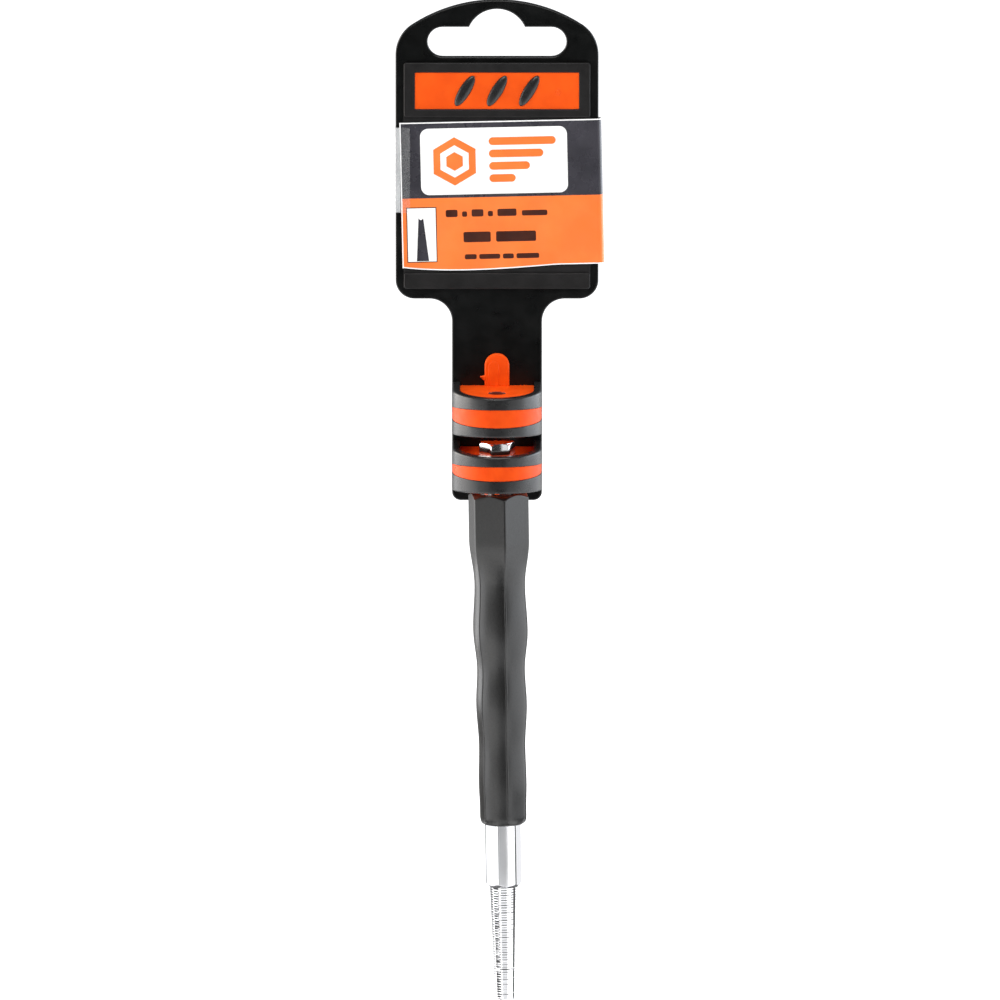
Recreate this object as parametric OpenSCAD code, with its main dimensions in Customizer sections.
// Nail punch with a hexagonal steel bar and a soft grip, held in its moulded hanger.
// Millimetres. +X is to the right of the printed side, which faces -Y, and +Z is up.
// The origin is where the crown of the hanger's slot rests on a peg, at half the plate's thickness.

/* [Hanger plate] */
// Width of the wide part of the plate
plate_w = 44.8; // [40:0.2:60]
// Height of the wide part of the plate
plate_h = 66.6; // [60:0.2:80]
// Thickness of the plate
plate_t = 2; // [1.6:0.1:3]
// Radius of the arched top edge
arch_r = 34.3; // [30:0.1:60]
// Radius of the corners beside the arch
shoulder_r = 8; // [4:0.1:12]
// Radius of the lower corners of the wide part
skirt_r = 4.2; // [1:0.1:6]
// Width of the neck and of the tool rings
neck_w = 19.9; // [18.5:0.1:24]
// Height of the neck below the wide part
neck_h = 45.1; // [42:0.1:60]
// Radius of the hollow corners beside the neck
neck_fillet_r = 5; // [1:0.1:7]
// Radius of the corners at the neck's foot
foot_r = 1.9; // [0.5:0.1:4]

/* [Hanging slot] */
// Width of the slot for a flat or a round peg
slot_w = 30.6; // [26:0.1:34]
// Height of the slot
slot_h = 6.6; // [5:0.1:8]
// Radius of the crown above the slot
crown_r = 6.7; // [5:0.1:8]
// Height of the crown above the slot
crown_h = 4; // [2:0.1:4.5]
// Plate left above the crown
crown_web = 2; // [1.5:0.1:4]

/* [Raised pad] */
// Width of the raised pad
pad_w = 41.1; // [38:0.1:60]
// Height of the raised pad
pad_h = 50.4; // [50:0.1:60]
// Plate left between the slot and the pad
pad_web = 1.25; // [0.5:0.05:3]
// Height of the pad above the plate
pad_rise = 0.9; // [0.6:0.05:1.5]
// Depth of the label's bed in the pad
bed_depth = 0.4; // [0.2:0.05:0.5]
// Height of the label's bed
bed_h = 34.8; // [34:0.1:38]
// Pad left below the label's bed
bed_sill = 3.5; // [2:0.1:6]

/* [Colour window] */
// Width of the window in the pad
window_w = 36.2; // [30:0.1:38]
// Height of the window
window_h = 8.2; // [8:0.1:9]
// Pad left above the window
window_web = 2.15; // [1:0.05:2.2]
// Depth of the window's pocket below the pad
window_depth = 1.6; // [1.2:0.1:2.2]
// Depth of the strip's face below the pad
strip_drop = 0.25; // [0.1:0.05:0.6]
// Length of an oval pip
pip_l = 7.8; // [5:0.1:8]
// Width of an oval pip
pip_w = 2.3; // [1.5:0.1:3]
// Distance between pips
pip_pitch = 7.1; // [6:0.1:8]
// Lean of the pips from upright, in degrees
pip_lean = 31; // [20:1:45]

/* [Tool rings] */
// Depth of the straight sides of a ring, in front of the plate
ring_straight = 7; // [4:0.1:10]
// Wall of a ring
ring_wall = 1.8; // [1.4:0.1:2.4]
// Draft of the rings' faces, in degrees
ring_draft = 4; // [1:0.5:5]
// Height of the upper ring at its front
upper_ring_h = 8.7; // [8:0.1:10]
// Height of the lower ring at its front
lower_ring_h = 8.1; // [8:0.1:10]
// Space between the rings at their front
ring_gap = 4.4; // [4:0.1:6]
// Plate below the lower ring's front
ring_foot = 4.2; // [3.5:0.1:8]

/* [Soft insert] */
// Height of the upper ring's stripe at its front
upper_stripe_h = 4.1; // [3:0.1:4.5]
// Height of the lower ring's stripe at its front
lower_stripe_h = 3.3; // [3:0.1:4]
// Rim left above the upper stripe
upper_rim_h = 2.5; // [1.5:0.1:3]
// Rim left above the lower stripe
lower_rim_h = 2.1; // [1.5:0.1:3]
// Depth of the stripes' grooves
stripe_depth = 0.9; // [0.6:0.05:1.2]
// Depth of a stripe's face below its rims
stripe_drop = 0.12; // [0.05:0.01:0.3]
// Thickness of the membranes that grip a tool
membrane_t = 2; // [1.2:0.1:3]
// Thickness of the lining under a membrane
lining_t = 1.2; // [0.8:0.1:2]
// Draft of the membranes' upper faces, in degrees
membrane_draft = 2; // [0:0.5:3]
// Depth of the upper membrane below its rim
upper_membrane_drop = 0.25; // [0.1:0.05:1]
// Depth of the lower membrane below its rim
lower_membrane_drop = 0.8; // [0.1:0.05:1.2]
// Diameter of the spare hole in the upper membrane
spare_hole_d = 3.86; // [3:0.02:6]
// Width of the runner that feeds the membranes
runner_w = 5.5; // [3:0.1:7]
// Thickness of the runner
runner_t = 0.9; // [0.6:0.05:1.2]
// Height of the runner above the upper ring's front
runner_rise = 7.6; // [4:0.1:10]

/* [Punch] */
// Length of the punch
punch_l = 125; // [110:1:160]
// Width of the hexagonal bar across its corners
bar_w = 8.08; // [7:0.02:8.4]
// Distance from the plate's front to the bar's axis
bar_reach = 8.5; // [7.5:0.1:9.5]
// Diameter of the struck end's face
head_d = 7.55; // [6:0.05:7.8]
// Height of the struck end's cone
head_cone_h = 0.5; // [0.3:0.1:2]
// Bar standing above the lower ring
head_rise = 2.3; // [1:0.1:3]
// Length of the round taper
taper_l = 26.1; // [20:0.1:40]
// Diameter of the taper where it meets the bar
taper_d = 6.2; // [5:0.1:6.8]
// Diameter of the tip
tip_d = 4.6; // [4:0.1:5]
// Height of the cone between the bar and the taper
collar_h = 0.9; // [0.5:0.1:2]
// Diameter of the cup that takes a nail's head
cup_d = 3.2; // [2:0.1:3.6]
// Depth of the cup
cup_depth = 0.8; // [0.4:0.1:2]
// Width and height of the lead-in at the cup's mouth
cup_lead = 0.15; // [0.05:0.05:0.3]
// Lean of the punch in its ring, in degrees
punch_lean = 0.86; // [0:0.02:1]

/* [Grip] */
// Length of the grip
grip_l = 74.5; // [70:0.5:84]
// Width across the flats at the grip's top
grip_w = 12.1; // [11.8:0.1:13]
// Bar between the lower ring and the grip
grip_gap = 0.9; // [0.5:0.05:2]
// Height of the cone at the grip's top
grip_cone_h = 1; // [0.6:0.1:2]
// Radius of the grip's lower end
grip_end_r = 2; // [0.5:0.1:2]

/* [Label] */
// Width of the label's front from its end to the plate's edge
label_w = 43.6; // [42:0.1:48]
// Height of the label
label_h = 32.3; // [30:0.1:33]
// Height of the label's middle above the middle of its bed
label_rise = 0.4; // [0:0.05:0.6]
// Thickness of the label
label_t = 0.25; // [0.15:0.01:0.4]
// Turn of the label out of level, in degrees
label_turn = 1.25; // [0:0.05:1.5]
// Space between the plate's edge and the label's fold
label_slack = 0.7; // [0.7:0.05:1.5]
// Radius inside the label's fold
fold_r = 0.3; // [0.2:0.05:0.3]
// Length of the label's end on the back, short of the plate's edge
label_back_gap = 2; // [1:0.1:8]
// Height of the clear tape that closes the label
tape_h = 19; // [12:0.5:25]
// Thickness of the tape
tape_t = 0.1; // [0.05:0.01:0.15]
// Reach of the tape from the plate's edge
tape_reach = 3.2; // [2.5:0.1:8]

/* [Hidden] */

// Faces of round shapes
$fn = 96;
// Overrun of every cut past what it cuts
over = 1;
// Corners of the bar and of the grip
hex = 6;
// Turns of the bar and of the grip about the punch's axis, in degrees
bar_turn = 12.2;
grip_turn = 41.5;

// Heights on the plate, from its top edge down
plate_top = crown_web;
arch_z = plate_top - arch_r;
shoulder_x = plate_w / 2 - shoulder_r;
shoulder_z = arch_z + sqrt(pow(arch_r - shoulder_r, 2) - pow(shoulder_x, 2));
plate_foot = plate_top - plate_h;
neck_foot = plate_foot - neck_h;
slot_z = -crown_h - slot_h / 2;
pad_top = -crown_h - slot_h - pad_web;
pad_foot = pad_top - pad_h;
bed_foot = pad_foot + bed_sill;
bed_z = bed_foot + bed_h / 2;
window_z = pad_top - window_web - window_h / 2;

// Places across the plate's thickness
plate_front = -plate_t / 2;
plate_back = plate_t / 2;
pad_face = plate_front - pad_rise;
bed_face = pad_face + bed_depth;
strip_face = pad_face + strip_drop;
pocket_floor = pad_face + window_depth;

// An oval pip is two wide arcs joined by two narrow ones
pip_end_share = 0.22;
pip_end_r = pip_w * pip_end_share;
pip_end_x = pip_l / 2 - pip_end_r;
pip_side_r = (pow(pip_end_x, 2) + pow(pip_w / 2, 2) - pow(pip_end_r, 2)) / (pip_w - 2 * pip_end_r);
pip_joint_x = pip_end_x * pip_side_r / (pip_side_r - pip_end_r);

// The rings are as wide as the neck
ring_half = neck_w / 2;
ring_depth = ring_straight + ring_half;
ring_front = plate_front - ring_depth;
ring_round_y = plate_front - ring_straight;
lower_bottom = neck_foot + ring_foot;
lower_top = lower_bottom + lower_ring_h;
upper_bottom = lower_top + ring_gap;
upper_top = upper_bottom + upper_ring_h;
// Top and height of each stripe at its front
stripes = [[upper_top - upper_rim_h, upper_stripe_h], [lower_top - lower_rim_h, lower_stripe_h]];
// Insets of the faces in a ring's wall, from its outside in
stripe_root_inset = stripe_depth;
lining_inset = ring_wall;
hollow_inset = ring_wall + lining_t;
// Windows in a ring's wall join each stripe to the lining
port_w_share = 0.15;
port_h_share = 0.45;
port_w = 2 * ring_half * port_w_share;
port_turns = [-50, 0, 50];
// Plate left bare behind the stripes' ends
stripe_setback_share = 0.06;
stripe_setback = ring_depth * stripe_setback_share;
runner_top = upper_top + runner_rise;

// The punch, in its own frame: its axis is Z and the struck end is at zero
bar_y = plate_front - bar_reach;
head_z = lower_top + head_rise;
bar_r = bar_w / 2;
collar_z = -(punch_l - taper_l);
tip_z = -punch_l;
// How far the struck end's cone runs on past the bar's corners
cone_run_share = 1.2;
grip_top = lower_bottom - grip_gap - head_z;
grip_foot = grip_top - grip_l;
// Gap left around the bar where it slides through the soft membrane
bar_clear_share = 0.0125;
bar_clear = bar_r * bar_clear_share;

// The grip's finger waves: how far down each crest or hollow is, and its width across the flats
wave_place_shares = [0.142, 0.278, 0.413, 0.534, 0.636, 0.766, 0.874, 0.956];
wave_width_shares = [1, 0.839, 0.907, 0.792, 0.842, 0.767, 0.792, 0.769];
wave_steps = 7;
wave_last = len(wave_place_shares) - 1;
grip_corner_r = grip_w / sqrt(3);
grip_end_w = grip_w * wave_width_shares[wave_last];
grip_end_corner_r = grip_end_w / sqrt(3);
// The round end stands this share clear of the corners that it rounds
end_spare_share = 0.02;

// The label passes once round the plate, from one front end to one back end
label_z = bed_z + label_rise;
label_left = plate_w / 2 - label_w;
label_fold = plate_w / 2 + label_slack;
label_back_end = -plate_w / 2 + label_back_gap;
label_front = bed_face - label_t;
label_back = plate_back + label_t;
// The tape goes round whatever reaches furthest past the plate's left side
label_lean = label_h / 2 * sin(label_turn);
tape_half = max(plate_w / 2, pad_w / 2, label_lean - label_left);
tape_z_share = 0.16;
tape_z = label_z + label_h * tape_z_share;

// Half the width of the grip across its flats, down one wave with a soft start and end
function wave_half(i, t) =
    let (a = wave_width_shares[i], b = wave_width_shares[i + 1])
    grip_w / 2 * (a + (b - a) * (1 - cos(180 * t)) / 2);

function wave_z(i, t) =
    let (a = wave_place_shares[i], b = wave_place_shares[i + 1])
    grip_top - grip_l * (a + (b - a) * t);

// One side of the grip's profile, as points from the top down
function grip_side() = concat(
    [[grip_w / 2, grip_top]],
    [for (i = [0 : wave_last - 1], k = [0 : wave_steps - 1])
        [wave_half(i, k / wave_steps), wave_z(i, k / wave_steps)]],
    [[grip_end_w / 2, wave_z(wave_last - 1, 1)], [grip_end_w / 2, grip_foot]]);

function flipped(points) = [for (i = [len(points) - 1 : -1 : 0]) [-points[i][0], points[i][1]]];

// Draws a flat shape as seen from the front, between two places across the thickness
module facing_front(from_y, to_y) {
    translate([0, max(from_y, to_y), 0])
        rotate([90, 0, 0])
            linear_extrude(abs(to_y - from_y))
                children();
}

// Draws a flat shape as seen from above, between two heights
module facing_up(from_z, to_z) {
    translate([0, 0, min(from_z, to_z)])
        linear_extrude(abs(to_z - from_z))
            children();
}

// Draws a flat shape of Y and Z across a width
module across(width) {
    translate([-width / 2, 0, 0])
        rotate([90, 0, 90])
            linear_extrude(width)
                children();
}

module rounded_rect(w, h, r) {
    square([w - 2 * r, h], center = true);
    square([w, h - 2 * r], center = true);
    for (x = [-1, 1], y = [-1, 1])
        translate([x * (w / 2 - r), y * (h / 2 - r)])
            circle(r);
}

// A bar of square section with one concave quarter, for the corner beside the neck
module hollow_corner(r) {
    difference() {
        square(r);
        translate([r, 0])
            circle(r);
    }
}

module arch_outline() {
    reach = arch_r + over;
    lean = atan2(shoulder_x, shoulder_z - arch_z);
    intersection() {
        translate([0, arch_z])
            circle(arch_r);
        translate([0, arch_z])
            polygon([[0, 0], [-reach * tan(lean), reach], [reach * tan(lean), reach]]);
    }
    for (side = [-1, 1])
        translate([side * shoulder_x, shoulder_z])
            circle(shoulder_r);
}

module wide_outline() {
    mid = plate_foot + skirt_r;
    arch_outline();
    translate([-shoulder_x, mid])
        square([2 * shoulder_x, shoulder_z - mid]);
    translate([-plate_w / 2, mid])
        square([plate_w, shoulder_z - mid]);
    translate([skirt_r - plate_w / 2, plate_foot])
        square([plate_w - 2 * skirt_r, skirt_r]);
    for (side = [-1, 1])
        translate([side * (plate_w / 2 - skirt_r), mid])
            circle(skirt_r);
}

module neck_outline() {
    translate([0, neck_foot + (neck_h + neck_fillet_r) / 2])
        rounded_rect(neck_w, neck_h + neck_fillet_r, foot_r);
    for (side = [0, 1])
        mirror([side, 0])
            translate([neck_w / 2, plate_foot - neck_fillet_r])
                hollow_corner(neck_fillet_r);
}

module slot_outline() {
    translate([0, slot_z])
        square([slot_w - slot_h, slot_h], center = true);
    for (side = [-1, 1])
        translate([side * (slot_w - slot_h) / 2, slot_z])
            circle(slot_h / 2);
    intersection() {
        translate([0, -crown_r])
            circle(crown_r);
        translate([-crown_r, slot_z])
            square([2 * crown_r, -slot_z]);
    }
}

module pip_outline() {
    intersection() {
        translate([0, pip_side_r - pip_w / 2])
            circle(pip_side_r);
        translate([0, pip_w / 2 - pip_side_r])
            circle(pip_side_r);
        square([2 * pip_joint_x, pip_w], center = true);
    }
    for (side = [-1, 1])
        translate([side * pip_end_x, 0])
            circle(pip_end_r);
}

module pips_outline() {
    for (i = [-1 : 1])
        translate([i * pip_pitch, window_z])
            rotate(90 - pip_lean)
                pip_outline();
}

module window_outline() {
    translate([0, window_z])
        square([window_w, window_h], center = true);
}

// A ring seen from above, with its outside drawn in by an inset
module ring_outline(inset) {
    half = ring_half - inset;
    translate([-half, ring_round_y])
        square([2 * half, ring_straight]);
    intersection() {
        translate([0, ring_round_y])
            circle(half);
        translate([-half, ring_round_y - half])
            square([2 * half, half]);
    }
}

// The space from a set-back off the plate to past the rings, between two faces given at the front.
// A draft closes its face towards the front.
module wedge(top, bottom, top_draft, bottom_draft, setback = 0) {
    near = plate_front - setback;
    depth = ring_depth - setback;
    far = ring_front - over;
    across(neck_w + 2 * over)
        polygon([
            [far, top - over * tan(top_draft)],
            [near, top + depth * tan(top_draft)],
            [near, bottom - depth * tan(bottom_draft)],
            [far, bottom + over * tan(bottom_draft)]]);
}

module ring_block(top, bottom) {
    intersection() {
        facing_up(top + ring_depth, bottom - ring_depth)
            ring_outline(0);
        wedge(top, bottom, ring_draft, ring_draft);
    }
}

// A stripe, whose groove opens towards the front
module stripe_ring(top, height, face_inset) {
    intersection() {
        facing_up(top + ring_depth, top - height - ring_depth)
            difference() {
                ring_outline(face_inset);
                ring_outline(stripe_root_inset);
            }
        wedge(top, top - height, -ring_draft, -ring_draft, stripe_setback);
    }
}

// Windows through a ring's wall, from the middle of the stripe to the middle of the lining
module stripe_ports(top, height) {
    port_h = height * port_h_share;
    inner = ring_half - lining_inset - lining_t / 2;
    outer = ring_half - (stripe_root_inset + stripe_drop) / 2;
    for (turn = port_turns)
        translate([0, ring_round_y, top - height / 2])
            rotate(turn - 90)
                translate([inner, -port_w / 2, -port_h / 2])
                    cube([outer - inner, port_w, port_h]);
}

// The lining and membrane of one ring, with the membrane's hole still to be cut
module ring_plug(top, bottom, drop) {
    difference() {
        intersection() {
            facing_up(top + ring_depth, bottom - ring_depth)
                ring_outline(lining_inset);
            wedge(top - drop, bottom, membrane_draft, ring_draft);
        }
        intersection() {
            facing_up(top, bottom - ring_depth)
                ring_outline(hollow_inset);
            wedge(top - drop - membrane_t, bottom - over, membrane_draft, ring_draft, lining_t);
        }
    }
}

// A strip on the plate's front that feeds both membranes and ends in a round tongue
module runner() {
    foot = lower_top - lower_membrane_drop;
    crown = runner_top - runner_w / 2;
    facing_front(plate_front, plate_front - runner_t) {
        translate([-runner_w / 2, foot])
            square([runner_w, crown - foot]);
        translate([0, crown])
            circle(runner_w / 2);
    }
}

// Places a shape drawn about the punch's axis where the punch hangs
module on_punch() {
    translate([0, bar_y, head_z])
        rotate([0, -punch_lean, 0])
            children();
}

module bar_hex(extra, from_z, to_z) {
    facing_up(from_z, to_z)
        rotate(bar_turn)
            circle(bar_r + extra, $fn = hex);
}

module hanger_plate() {
    color([0.09, 0.09, 0.09])
        difference() {
            union() {
                facing_front(plate_back, plate_front) {
                    wide_outline();
                    neck_outline();
                }
                facing_front(plate_front, pad_face)
                    translate([0, pad_top - pad_h / 2])
                        square([pad_w, pad_h], center = true);
                ring_block(upper_top, upper_bottom);
                ring_block(lower_top, lower_bottom);
            }
            facing_front(plate_back + over, plate_front - over)
                slot_outline();
            facing_front(bed_face, pad_face - over)
                translate([0, bed_z])
                    square([pad_w + over, bed_h], center = true);
            facing_front(pocket_floor, pad_face - over)
                difference() {
                    window_outline();
                    pips_outline();
                }
            facing_up(upper_top + ring_depth, lower_bottom - ring_depth)
                ring_outline(lining_inset);
            for (stripe = stripes) {
                stripe_ring(stripe[0], stripe[1], -over);
                stripe_ports(stripe[0], stripe[1]);
            }
        }
}

module window_strip() {
    color([0.95, 0.32, 0.07])
        facing_front(pocket_floor, strip_face)
            difference() {
                window_outline();
                pips_outline();
            }
}

module ring_insert() {
    color([0.95, 0.32, 0.07])
        difference() {
            union() {
                ring_plug(upper_top, upper_bottom, upper_membrane_drop);
                ring_plug(lower_top, lower_bottom, lower_membrane_drop);
                runner();
                for (stripe = stripes) {
                    stripe_ring(stripe[0], stripe[1], stripe_drop);
                    stripe_ports(stripe[0], stripe[1]);
                }
            }
            translate([0, bar_y, upper_bottom])
                cylinder(d = spare_hole_d, h = upper_ring_h + ring_depth);
            on_punch()
                bar_hex(bar_clear, over, -(head_rise + lower_ring_h + ring_depth));
        }
}

// The turned shape of the whole bar, wider than the corners where the bar stays hexagonal.
// A bar that is no wider than its struck face has a plain end.
module bar_profile() {
    shank_foot = collar_z - collar_h;
    wide = bar_r + over;
    cone_w = max(0, bar_r - head_d / 2);
    face_r = cone_w > 0 ? head_d / 2 : wide;
    collar_slope = collar_h / (bar_r - taper_d / 2);
    rotate_extrude()
        polygon([
            [0, 0],
            [face_r, 0],
            [face_r + cone_run_share * cone_w, -cone_run_share * head_cone_h],
            [wide, -cone_run_share * head_cone_h],
            [wide, collar_z + collar_slope * over],
            [taper_d / 2, shank_foot],
            [tip_d / 2, tip_z],
            [0, tip_z]]);
}

module punch_bar() {
    color([0.85, 0.86, 0.88])
        on_punch()
            difference() {
                intersection() {
                    bar_hex(0, over, tip_z - over);
                    bar_profile();
                }
                translate([0, 0, tip_z - over]) {
                    cylinder(d = cup_d, h = cup_depth + over);
                    cylinder(d1 = cup_d + 2 * (cup_lead + over), d2 = cup_d, h = cup_lead + over);
                }
            }
}

// The grip between its three pairs of flats, which share one profile
module grip_slab() {
    reach = 2 * grip_corner_r;
    translate([0, reach, 0])
        rotate([90, 0, 0])
            linear_extrude(2 * reach)
                polygon(concat(grip_side(), flipped(grip_side())));
}

// The turned shape of the grip's ends, wider than the corners in between
module grip_ends() {
    wide = grip_corner_r + over;
    cone_r = grip_corner_r - grip_cone_h;
    end_flat = grip_foot + grip_end_r;
    end_r = grip_end_corner_r * (1 + end_spare_share);
    rotate_extrude()
        polygon([
            [0, grip_top],
            [cone_r, grip_top],
            [wide, grip_top - wide + cone_r],
            [wide, end_flat],
            [0, end_flat]]);
    facing_up(grip_foot, end_flat + over)
        circle(end_r - grip_end_r);
    rotate_extrude()
        translate([end_r - grip_end_r, end_flat])
            circle(grip_end_r);
}

module grip_sleeve() {
    color([0.2, 0.21, 0.2])
        on_punch()
            difference() {
                intersection() {
                    grip_ends();
                    intersection_for(turn = [30, 90, 150])
                        rotate(grip_turn + turn)
                            grip_slab();
                }
                bar_hex(0, grip_top + over, grip_foot - over);
            }
}

// The label's path seen from above: a front, a fold past the plate's edge and a back
module label_path(grow) {
    depth = plate_back - bed_face;
    r = fold_r + grow;
    translate([label_fold - label_w, (plate_back + bed_face) / 2])
        rounded_rect(2 * (label_w + grow), depth + 2 * grow, r);
}

module label_card() {
    color([0.98, 0.56, 0.27])
        translate([0, 0, label_z])
            rotate([0, -label_turn, 0])
                facing_up(-label_h / 2, label_h / 2)
                    difference() {
                        label_path(label_t);
                        label_path(0);
                        translate([label_left - 4 * label_w, -plate_w])
                            square([4 * label_w, plate_w + plate_back]);
                        translate([label_back_end - 4 * label_w, 0])
                            square([4 * label_w, plate_w]);
                    }
}

module tape_path(grow) {
    depth = label_back - label_front;
    translate([tape_half, (label_back + label_front) / 2])
        rounded_rect(2 * (2 * tape_half + grow), depth + 2 * grow, fold_r + grow);
}

module label_tape() {
    color([0.8, 0.82, 0.84, 0.5])
        facing_up(tape_z - tape_h / 2, tape_z + tape_h / 2)
            difference() {
                tape_path(tape_t);
                tape_path(0);
                translate([tape_reach - tape_half, -plate_w])
                    square([4 * tape_half, 2 * plate_w]);
            }
}

hanger_plate();
window_strip();
ring_insert();
punch_bar();
grip_sleeve();
label_card();
label_tape();
